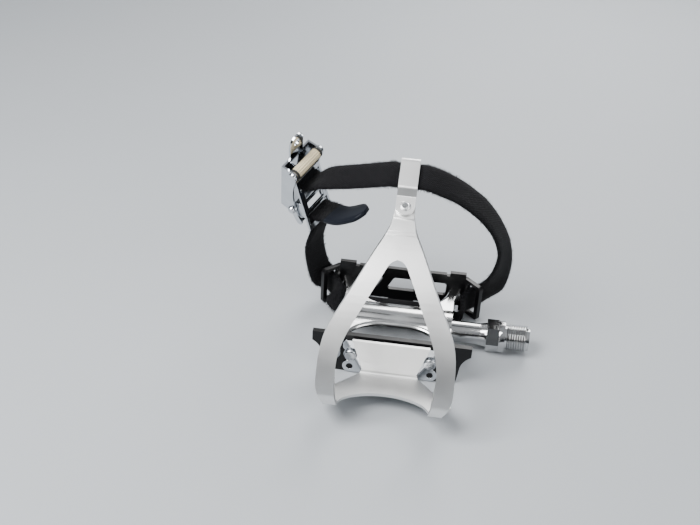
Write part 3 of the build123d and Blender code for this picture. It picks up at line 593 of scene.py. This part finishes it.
@dataclass
class PedalBody:
    """Forged body, its cage plates, the chromed backing plate and their fasteners."""

    body_edge: float = 0.3
    plate_edge: float = 0.25
    bolt_edge: float = 0.2

    def build(self, forging: bpy.types.Material, black: bpy.types.Material, chrome: bpy.types.Material,
              bolt: bpy.types.Material) -> None:
        """Make and seat every piece of the body.

        Args:
            forging: Finish of the body and dust cap.
            black: Finish of the cage plates.
            chrome: Finish of the backing plate.
            bolt: Finish of bolts and nuts.
        """
        for node in ("pedal_body", "dust_cap"):
            dressed_node(node, "pedal", "body_alloy", forging, self.body_edge)
        for node in ("front_cage_plate", "rear_cage_plate"):
            dressed_node(node, "pedal", "cage_black", black, self.plate_edge)
        dressed_node("clip_backing_plate", "pedal", "plate_chrome", chrome, self.plate_edge)
        for node in ("front_cage_bolts", "rear_cage_bolts", "backing_bolts", "backing_nuts", "clip_nuts"):
            dressed_node(node, "pedal", "bolt_steel", bolt, self.bolt_edge)


@dataclass
class LoopRivet:
    """Tubular rivet with rolled rims, which closes the clip's strap loop."""

    flange: float = 2.5
    crown: float = 2.0
    bore: float = 1.3
    shank: float = 1.6
    head_height: float = 0.9
    rim_drop: float = 0.4
    lip_depth: float = 0.35
    lip_width: float = 0.3
    waist_share: float = 0.3
    steps: int = 48
    crease: float = 50.0

    def outline(self, length: float) -> list[tuple[float, float]]:
        """Outline half of the rivet's section from end to end.

        Args:
            length: Length of the rivet.

        Returns:
            Points out from the axis and along it, in millimetres.
        """
        end = [(self.bore, length * self.waist_share), (self.bore, self.lip_depth),
               (self.bore + self.lip_width, 0.0), (self.crown, 0.0), (self.flange, self.rim_drop),
               (self.flange, self.head_height), (self.shank, self.head_height)]
        return [*end, *((radius, length - height) for radius, height in reversed(end))]

    def turned(self) -> bpy.types.Object:
        """Spin the rivet where the CAD rivet sits.

        Returns:
            The rivet.
        """
        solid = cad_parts["loop_rivet"].data
        axis = -min((face.normal for face in solid.polygons), key=lambda normal: normal.z)
        reach = [vert.co.dot(axis) for vert in solid.vertices]
        lowest = min(reach)
        end = [vert.co for vert in solid.vertices if vert.co.dot(axis) < lowest + MERGE_DISTANCE]
        foot = sum(end, Vector()) / len(end)
        outline = self.outline((max(reach) - lowest) / MM)
        bm = bmesh.new()
        spin_ring(bm, [(radius * MM, 0, height * MM) for radius, height in outline], Vector((0, 0, 0)),
                  Vector((0, 0, 1)), self.steps)
        bmesh.ops.recalc_face_normals(bm, faces=bm.faces)
        bmesh.ops.transform(bm, verts=bm.verts, matrix=Matrix.Translation(foot)
                            @ axis.to_track_quat("Z", "Y").to_matrix().to_4x4())
        return finished("loop_rivet_turned", bm, self.crease)


@dataclass
class ToeClip:
    """Folded alloy clip, narrowed round its lower fold, with its rivet.

    middle is the X of the plane that halves the clip, and fold_place the Y and Z of the fold.
    """

    sheet_edge: float = 0.35
    middle: float = -57.4
    fold_place: tuple[float, float] = (-75.6, 5.4)
    fold_reach: float = 12.0
    arm_inner: float = 23.8
    arm_width: float = 8.8
    inner_draw: float = 2.0
    outer_draw: float = 2.2

    def draw_in(self, bm: bmesh.types.BMesh) -> None:
        """Narrow the sheet round its lower fold, which rounds the corners of its toe.

        Args:
            bm: Copy of the clip, in metres.
        """
        for vert in bm.verts:
            across, along, height = vert.co / MM
            across -= self.middle
            away = math.hypot(along - self.fold_place[0], height - self.fold_place[1])
            ease = 0.5 + 0.5 * math.cos(math.pi * min(away / self.fold_reach, 1.0))
            outer = min(max((abs(across) - self.arm_inner) / self.arm_width, 0.0), 1.0)
            vert.co.x -= math.copysign(ease * (self.inner_draw + self.outer_draw * outer) * MM, across)

    def sheet(self) -> bpy.types.Object:
        """Copy the folded sheet, with its toe drawn in, its flats held and its edges broken.

        Returns:
            The clip.
        """
        bm = merged_copy("toe_clip")
        self.draw_in(bm)
        hold_flats(bm)
        piece = finished("toe_clip_shell", bm)
        round_edges(piece, self.sheet_edge)
        return piece

    def build(self, satin: bpy.types.Material, drawn: bpy.types.Material) -> None:
        """Make and seat the clip and its rivet.

        Args:
            satin: Finish of the clip.
            drawn: Finish of the rivet.
        """
        seat(self.sheet(), "pedal", "clip_alloy", satin, "toe_clip")
        seat(LoopRivet().turned(), "pedal", "rivet_alloy", drawn, "loop_rivet")


# Stations of the webbing, each with the direction across it. They repeat the part's own route,
# rounded, and the first few past the clip loop are eased a little.
STRAP_ROUTE = (
    ((-110.8, 11.1, 80.7), (0.48, 0.81, 0.33)),
    ((-110.3, 11.6, 78.8), (0.48, 0.81, 0.33)),
    ((-108.3, 11.3, 76.4), (0.48, 0.81, 0.33)),
    ((-105.2, 9.5, 76.3), (0.48, 0.81, 0.33)),
    ((-98.2, 7.5, 80.6), (0.35, 0.82, 0.45)),
    ((-85.5, 5.4, 84.2), (0.15, 0.84, 0.52)),
    ((-74.3, 2.7, 88.0), (0.04, 0.86, 0.51)),
    ((-66.6, 0.1, 91.0), (0.00, 0.87, 0.49)),
    ((-62.9, 0.1, 91.0), (0.00, 0.87, 0.49)),
    ((-51.9, 0.1, 91.0), (0.00, 0.87, 0.49)),
    ((-47.2, 0.5, 90.4), (0.02, 0.86, 0.50)),
    ((-40.5, 2.0, 87.4), (0.06, 0.84, 0.53)),
    ((-31.0, 4.5, 81.8), (0.07, 0.90, 0.44)),
    ((-20.0, 8.5, 71.7), (0.09, 0.91, 0.41)),
    ((-11.9, 12.4, 60.2), (0.12, 0.93, 0.36)),
    ((-6.5, 17.0, 46.7), (0.28, 0.90, 0.34)),
    ((-5.0, 21.0, 34.8), (0.55, 0.78, 0.27)),
    ((-5.7, 25.0, 23.0), (0.78, 0.60, 0.06)),
    ((-8.5, 28.5, 12.0), (0.80, 0.38, -0.42)),
    ((-12.8, 30.2, 6.7), (0.55, 0.36, -0.74)),
    ((-17.5, 28.9, 3.2), (0.28, 0.22, -0.94)),
    ((-21.5, 25.8, 1.3), (0.28, 0.22, -0.94)),
    ((-24.2, 20.4, -2.7), (-0.18, 0.71, -0.68)),
    ((-29.1, 18.6, -3.9), (-0.20, 0.92, 0.34)),
    ((-44.5, 18.4, -4.3), (0.00, 0.95, 0.31)),
    ((-70.3, 18.4, -4.3), (0.00, 0.95, 0.31)),
    ((-85.7, 18.6, -3.9), (0.20, 0.92, 0.34)),
    ((-90.6, 20.4, -2.7), (0.69, 0.57, 0.42)),
    ((-93.3, 25.8, 1.3), (0.28, -0.22, 0.94)),
    ((-97.3, 28.9, 3.2), (0.28, -0.22, 0.94)),
    ((-101.9, 30.0, 6.3), (0.64, 0.58, 0.51)),
    ((-104.4, 27.5, 14.8), (0.60, 0.72, 0.36)),
    ((-106.0, 23.0, 30.9), (0.55, 0.78, 0.30)),
    ((-103.5, 21.7, 44.0), (0.48, 0.81, 0.33)),
    ((-104.8, 19.4, 51.4), (0.48, 0.81, 0.33)),
    ((-104.2, 17.3, 55.7), (0.48, 0.81, 0.33)),
    ((-100.7, 15.0, 56.3), (0.48, 0.81, 0.33)),
    ((-97.5, 12.7, 57.3), (0.48, 0.81, 0.33)),
    ((-88.8, 4.0, 61.7), (0.48, 0.81, 0.33)),
    ((-77.0, -2.0, 70.0), (0.48, 0.81, 0.33)),
)


@dataclass
class WebbingStrap:
    """Flat webbing through the clip loop, the ears, the tunnel and the buckle.

    round_in, round_up and flat_share place the corners of its section, as shares of the edge's
    round, of half the thickness and of half the width. The two spreads are how far a fibre's
    root and its lean stray, through the webbing and along it.
    """

    width: float = 14.0
    thickness: float = 2.2
    edge_round: float = 0.9
    round_in: float = 0.3
    round_up: float = 0.62
    flat_share: float = 0.45
    crease: float = 60.0
    steps: int = 8
    tongue_length: float = 26.0
    tip_length: float = 7.0
    tip_share: float = 0.35
    tufts: int = 70
    tuft_fibres: int = 100
    fibre_length: tuple[float, float] = (0.5, 1.5)
    fibre_radius: float = 0.08
    fibre_tip: float = 0.3
    fibre_sides: int = 3
    root_depth: float = 0.25
    root_spread: tuple[float, float] = (0.8, 1.6)
    lean_spread: tuple[float, float] = (0.8, 1.0)
    seed: int = 7
    sections: list[tuple[Matrix, float]] = field(default_factory=list)

    def survey(self) -> None:
        """Place a cross-section every few millimetres along the route."""
        points = [Vector(place) * MM for place, _ in STRAP_ROUTE]
        turns = [Vector(across).normalized() for _, across in STRAP_ROUTE]
        places: list[tuple[Vector, Vector]] = []
        last = len(points) - 1
        for index in range(last):
            near = (max(index - 1, 0), index, index + 1, min(index + 2, last))
            held = turns[index] == turns[index + 1]
            for step in range(self.steps):
                share = step / self.steps
                across = turns[index] if held else self.between([turns[i] for i in near], share)
                places.append((self.between([points[i] for i in near], share), across))
        places.append((points[last], turns[last]))
        run = 0.0
        for index, (place, across) in enumerate(places):
            ahead = places[min(index + 1, len(places) - 1)][0] - places[max(index - 1, 0)][0]
            forward = ahead.normalized()
            side = (across - forward * across.dot(forward)).normalized()
            up = forward.cross(side)
            turn = Matrix((side, up, forward)).transposed().to_4x4()
            if index:
                run += (place - places[index - 1][0]).length
            self.sections.append((Matrix.Translation(place) @ turn, run))

    @staticmethod
    def between(near: list[Vector], share: float) -> Vector:
        """Find a point on the smooth curve through the middle two of four points.

        Args:
            near: Four neighbouring stations.
            share: Way from the second to the third, from 0 to 1.

        Returns:
            The point.
        """
        before, start, end, after = near
        lead = (end - before) * 0.5
        trail = (after - start) * 0.5
        rise = share * share * (3 - 2 * share)
        return (start + (end - start) * rise + lead * (share * (1 - share) ** 2)
                - trail * (share * share * (1 - share)))

    def profile(self) -> list[tuple[float, float]]:
        """Outline the webbing's section, with soft selvedges.

        Returns:
            Points across and through the webbing, in millimetres.
        """
        half, deep, soft = self.width / 2, self.thickness / 2, self.edge_round
        quarter = [(half, 0.0), (half - soft * self.round_in, deep * self.round_up),
                   (half - soft, deep), (half * self.flat_share, deep)]
        upper = quarter + [(-x, y) for x, y in reversed(quarter)]
        lower = [(x, -y) for x, y in reversed(upper[1:-1])]
        return upper + lower

    def taper(self, left_mm: float) -> float:
        """Narrow the last stretch to a rounded tip.

        Args:
            left_mm: Way left to the end of the tail.

        Returns:
            Share of the full width.
        """
        inset = max(1.0 - left_mm / self.tip_length, 0.0)
        return max(math.sqrt(1.0 - inset ** 2), self.tip_share)

    def band(self) -> bpy.types.Object:
        """Extrude the section along the route.

        Returns:
            The strap.
        """
        bm = bmesh.new()
        along = bm.verts.layers.float.new("along")
        across = bm.verts.layers.float.new("across")
        tongue = bm.verts.layers.float.new("tongue")
        end = self.sections[-1][1]
        fresh, edges = closed_line(bm, [(x * MM, y * MM, 0) for x, y in self.profile()])
        back = Matrix.Identity(4)
        for index, (turn, run) in enumerate(self.sections):
            if index:
                grown = bmesh.ops.extrude_edge_only(bm, edges=edges)["geom"]
                edges = [e for e in grown if isinstance(e, bmesh.types.BMEdge) and e.is_boundary]
                fresh = [v for v in grown if isinstance(v, bmesh.types.BMVert)]
            shape = turn @ Matrix.Diagonal((self.taper((end - run) / MM), 1.0, 1.0, 1.0))
            bmesh.ops.transform(bm, matrix=shape @ back, verts=fresh)
            back = shape.inverted()
            for vert in fresh:
                vert[along] = run
                vert[across] = (turn.inverted() @ vert.co).x
                vert[tongue] = 1.0 if end - run < self.tongue_length * MM else 0.0
        bmesh.ops.holes_fill(bm, edges=open_edges(bm))
        bmesh.ops.recalc_face_normals(bm, faces=bm.faces)
        return finished("webbing_strap", bm, self.crease)

    def fuzz(self) -> bpy.types.Object:
        """Stand short loose fibres along both selvedges.

        Returns:
            All the fibres as one piece.
        """
        bm = bmesh.new()
        draw = random.Random(self.seed)
        end = self.sections[-1][1]
        woven = [turn for turn, run in self.sections if end - run > self.tongue_length * MM]
        tuft = bpy.data.meshes.new("tuft")
        # Cones are made a tuft at a time, because each one takes longer in a large mesh.
        for _ in range(self.tufts):
            fibres = bmesh.new()
            for _ in range(self.tuft_fibres):
                self.fibre(fibres, draw.choice(woven), draw)
            fibres.to_mesh(tuft)
            fibres.free()
            bm.from_mesh(tuft)
        bpy.data.meshes.remove(tuft)
        return finished("webbing_fuzz", bm)

    def fibre(self, bm: bmesh.types.BMesh, turn: Matrix, draw: random.Random) -> None:
        """Stand one tapering fibre on a selvedge.

        Args:
            bm: Mesh that gets it, in metres.
            turn: Place of the strap's section there.
            draw: Seeded source of its place and lean.
        """
        side = draw.choice((-1, 1))
        start = [draw.uniform(-spread, spread) for spread in self.root_spread]
        slant = [draw.uniform(-spread, spread) for spread in self.lean_spread]
        size = draw.uniform(*self.fibre_length) * MM
        root = Vector((side * (self.width / 2 - self.root_depth), *start)) * MM
        lean = Vector((side, *slant)).normalized()
        aim = lean.to_track_quat("Z", "Y").to_matrix().to_4x4()
        place = turn @ Matrix.Translation(root + lean * size / 2) @ aim
        radius = self.fibre_radius * MM
        bmesh.ops.create_cone(bm, cap_ends=True, segments=self.fibre_sides, radius1=radius,
                              radius2=radius * self.fibre_tip, depth=size, matrix=place)

    def build(self, nylon: bpy.types.Material) -> None:
        """Make and seat the strap and its fuzz.

        Args:
            nylon: Finish of the webbing.
        """
        self.survey()
        seat(self.band(), "pedal", "strap_nylon", nylon, "toe_strap")
        seat(self.fuzz(), "pedal", "strap_nylon", nylon)


@dataclass
class LeverBuckle:
    """Slotted buckle frame, its lever, two pins and the fluted roller, with dark rings at its ends as
    painted shade.
    """

    sheet_edge: float = 0.18
    roller_edge: float = 0.12
    pin_direction: tuple[float, float, float] = (0.481, 0.812, 0.331)
    ring_width: float = 1.1
    ring_rise: float = 0.1
    ring_depth: float = 0.5
    ring_steps: int = 48

    def painted_shade_rings(self) -> bpy.types.Object:
        """Spin a dark ring round each end of the roller: painted shade for the gaps beside the lever.

        Returns:
            Both rings as one piece.
        """
        spots = [vert.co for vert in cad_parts["buckle_roller"].data.vertices]
        axis = Vector(self.pin_direction).normalized()
        away = axis.orthogonal().normalized()
        low = Vector([min(spot[i] for spot in spots) for i in range(3)])
        high = Vector([max(spot[i] for spot in spots) for i in range(3)])
        middle = (low + high) / 2
        half = max((spot - middle).dot(axis) for spot in spots)
        radius = max((spot - middle).cross(axis).length for spot in spots)
        rise, depth = radius + self.ring_rise * MM, radius - self.ring_depth * MM
        bm = bmesh.new()
        for side in (-1, 1):
            outer = middle + axis * side * half
            inner = outer - axis * side * self.ring_width * MM
            outline = (inner + away * depth, outer + away * depth,
                       outer + away * rise, inner + away * rise)
            spin_ring(bm, outline, middle, axis, self.ring_steps)
        bmesh.ops.recalc_face_normals(bm, faces=bm.faces)
        return finished("roller_painted_shade_rings", bm)

    def build(self, chrome: bpy.types.Material, ivory: bpy.types.Material,
              rubber: bpy.types.Material) -> None:
        """Make and seat the buckle's pieces.

        Args:
            chrome: Finish of the metal pieces.
            ivory: Finish of the roller.
            rubber: Finish of the dark rings of painted shade at the roller's ends.
        """
        # The dark rings paint the shade that falls in the gaps at the roller's ends.
        seat(self.painted_shade_rings(), "roller", "seal_rubber", rubber)
        for node, body in (("buckle_pin", "pedal"), ("roller_pin", "lever")):
            dressed_node(node, body, "buckle_chrome", chrome, self.sheet_edge)
        for node, body in (("buckle_frame", "pedal"), ("buckle_lever", "lever")):
            dressed_node(node, body, "buckle_chrome", chrome, self.sheet_edge, hold=True)
        dressed_node("buckle_roller", "roller", "roller_plastic", ivory, self.roller_edge)


@dataclass(frozen=True)
class Softbox:
    """A square soft light: its place and its side in millimetres, and its power in watts."""

    name: str
    place: tuple[float, float, float]
    side: float
    power: float


@dataclass
class Studio:
    """Pale floor, soft lights and a camera at the photograph's angle, which is given in degrees."""

    target: tuple[float, float, float] = (-50.0, 0.0, 30.0)
    azimuth: float = 1.49
    elevation: float = 35.01
    roll: float = 5.65
    distance: float = 589.35
    focal_px: float = 1137.81
    image_width_px: float = 700.0
    aim_right_px: float = 65.84
    aim_up_px: float = 10.97
    sensor_mm: float = 36.0
    nearest_m: float = 0.01
    farthest_m: float = 20.0
    floor_half: float = 2500.0
    floor_gap: float = 0.05
    room_strength: float = 0.6
    room_shades: tuple[tuple[float, str], ...] = (
        (0.0, "#a4a8ac"), (0.1, "#34383d"), (0.28, "#3c4146"), (0.75, "#eef1f5"))
    softboxes: tuple[Softbox, ...] = (
        Softbox("key_softbox", (-420, -260, 620), 420, 11.5),
        Softbox("fill_softbox", (520, -420, 420), 500, 3.5),
        Softbox("rim_softbox", (100, 560, 420), 420, 5.0))

    def floor(self, pale: bpy.types.Material) -> None:
        """Lay the floor under the lowest point of the pedal.

        Args:
            pale: Finish of the floor.
        """
        bm = bmesh.new()
        level = CAD_BOX[0].z - self.floor_gap * MM
        bmesh.ops.create_grid(bm, x_segments=1, y_segments=1, size=self.floor_half * MM,
                              matrix=Matrix.Translation((0, 0, level)))
        ground = finished("studio_floor", bm)
        ground.data.materials.append(pale)

    def light(self, softbox: Softbox) -> None:
        """Hang a soft light that faces the pedal.

        Args:
            softbox: The light.
        """
        lamp = bpy.data.lights.new(softbox.name, "AREA")
        lamp.size = softbox.side * MM
        lamp.energy = softbox.power
        holder = bpy.data.objects.new(softbox.name, lamp)
        holder.location = Vector(softbox.place) * MM
        aim = Vector(self.target) - Vector(softbox.place)
        holder.rotation_euler = aim.to_track_quat("-Z", "Y").to_euler()
        bpy.context.scene.collection.objects.link(holder)

    def sky(self) -> None:
        """Light the room: a pale horizon, dark walls for the chrome to mirror, a pale ceiling."""
        world = bpy.data.worlds.new("studio")
        world.use_nodes = True
        tree = world.node_tree
        room = tree.nodes["Background"]
        room.inputs["Strength"].default_value = self.room_strength
        look = add_node(tree, "ShaderNodeTexCoord")
        split = add_node(tree, "ShaderNodeSeparateXYZ", links={"Vector": look.outputs["Generated"]})
        shade = add_node(tree, "ShaderNodeValToRGB", links={"Fac": split.outputs["Z"]})
        stops = shade.color_ramp.elements
        while len(stops) < len(self.room_shades):
            stops.new(1.0)
        for stop, (height, tone) in zip(stops, self.room_shades):
            stop.position = height
            stop.color = linear(tone)
        tree.links.new(shade.outputs["Color"], room.inputs["Color"])
        bpy.context.scene.world = world

    def camera(self) -> None:
        """Set the camera where the photograph was taken from."""
        round_by, raised_by = math.radians(self.azimuth), math.radians(self.elevation)
        level = math.cos(raised_by)
        back = Vector((math.sin(round_by) * level, -math.cos(round_by) * level, math.sin(raised_by)))
        right = Vector((math.cos(round_by), math.sin(round_by), 0))
        up = back.cross(right)
        view = -back
        swing = math.atan2(self.aim_right_px, self.focal_px)
        tip = math.atan2(self.aim_up_px, self.focal_px)
        swung = view * math.cos(swing) - right * math.sin(swing)
        right = right * math.cos(swing) + view * math.sin(swing)
        aimed = swung * math.cos(tip) + up * math.sin(tip)
        up = up * math.cos(tip) - swung * math.sin(tip)
        lean = math.radians(self.roll)
        across = right * math.cos(lean) + up * math.sin(lean)
        over = up * math.cos(lean) - right * math.sin(lean)
        lens = bpy.data.cameras.new("studio_camera")
        lens.sensor_width = self.sensor_mm
        lens.lens = self.focal_px / self.image_width_px * self.sensor_mm
        lens.clip_start = self.nearest_m
        lens.clip_end = self.farthest_m
        holder = bpy.data.objects.new("studio_camera", lens)
        place = Matrix.Translation((Vector(self.target) + back * self.distance) * MM)
        holder.matrix_world = place @ Matrix((across, over, -aimed)).transposed().to_4x4()
        bpy.context.scene.collection.objects.link(holder)
        bpy.context.scene.camera = holder

    def build(self, pale: bpy.types.Material) -> None:
        """Set up the floor, the lights and the camera.

        Args:
            pale: Finish of the floor.
        """
        self.floor(pale)
        for softbox in self.softboxes:
            self.light(softbox)
        self.sky()
        self.camera()


def main() -> None:
    """Build every sub-assembly in order."""
    logging.basicConfig(level=logging.INFO)
    # Forged aluminium, machine buffed: a bright mirror with soft smears.
    forging = MetalFinish(
        "buffed_aluminium", colour="#dcdcda", shade="#c4c5c6", roughness=0.19, roughness_spread=0.05,
        mark_mm=0.8, mark_depth_mm=0.002, smear_mm=14, working=Working.BUFFED).make()
    # Rolled aluminium sheet, glass-bead blasted: a pale, even satin.
    satin = MetalFinish(
        "blasted_aluminium", colour="#eeeeed", shade="#e2e2e1", roughness=0.4, roughness_spread=0.06,
        mark_mm=0.45, mark_depth_mm=0.03, smear_mm=22, working=Working.BLASTED).make()
    # Black anodised plate: the dyed oxide hides the metal and leaves a dull sheen.
    black = MetalFinish(
        "black_anodising", colour="#0b0b0d", shade="#060607", roughness=0.34, roughness_spread=0.08,
        mark_mm=0.6, mark_depth_mm=0.012, smear_mm=9, working=Working.BLASTED,
        metallic=0.0, gloss_level=0.28).make()
    # Bright chrome plate over steel: a cool mirror.
    chrome = MetalFinish(
        "chrome_plate", colour="#d9dbde", shade="#bfc3c8", roughness=0.07, roughness_spread=0.04,
        mark_mm=1.4, mark_depth_mm=0.002, smear_mm=7, working=Working.PLATED).make()
    # Turned and plated steel: fine rings round the axis.
    steel = MetalFinish(
        "turned_steel", colour="#cfcfce", shade="#b3b4b6", roughness=0.14, roughness_spread=0.06,
        mark_mm=0.35, mark_depth_mm=0.004, smear_mm=6, working=Working.TURNED).make()
    # Ground bearing steel: a grey half-gloss with fine rings.
    ground = MetalFinish(
        "ground_steel", colour="#a9abad", shade="#8f9194", roughness=0.2, roughness_spread=0.05,
        mark_mm=0.4, mark_depth_mm=0.003, smear_mm=3, working=Working.TURNED).make()
    # Zinc plated bolts: a duller, slightly grey metal.
    bolt = MetalFinish(
        "zinc_plate", colour="#b7babd", shade="#9a9da1", roughness=0.24, roughness_spread=0.08,
        mark_mm=0.7, mark_depth_mm=0.006, smear_mm=4, working=Working.BLASTED).make()
    # Drawn aluminium rivet: as pale as the clip, with a smoother skin.
    drawn = MetalFinish(
        "drawn_aluminium", colour="#e4e5e6", shade="#d4d5d6", roughness=0.4, roughness_spread=0.06,
        mark_mm=0.5, mark_depth_mm=0.004, smear_mm=3, working=Working.BLASTED).make()
    # Ivory nylon roller: a warm, dull moulding.
    ivory = MouldedFinish("ivory_nylon", colour="#d8ccb0", mottle="#c3b492", roughness=0.48,
                          grain_mm=0.5, grain_depth_mm=0.02).make()
    # Nitrile rubber, for the lip seal, and for the dark rings of painted shade at the roller's ends: a
    # soft black with no highlight.
    rubber = MouldedFinish("nitrile_rubber", colour="#141414", mottle="#1c1c1c", roughness=0.7,
                           grain_mm=0.4, grain_depth_mm=0.02).make()
    # Woven nylon: a matt black with a linty nap whose lighter specks are partly painted highlight, and a
    # smooth blue-black tongue.
    nylon = WebbingFinish().make()
    # Backdrop paper: an even pale grey that takes soft shadows.
    pale = MouldedFinish("pale_paper", colour="#a6aaae", mottle="#a2a6aa", roughness=0.7,
                         grain_mm=2.0, grain_depth_mm=0.01, mottle_mm=120.0).make()

    SpindleUnit().build(steel, ground, rubber, bolt)
    PedalBody().build(forging, black, chrome, bolt)
    ToeClip().build(satin, drawn)
    WebbingStrap().build(nylon)
    LeverBuckle().build(chrome, ivory, rubber)
    Studio().build(pale)


if __name__ == "__main__":
    main()
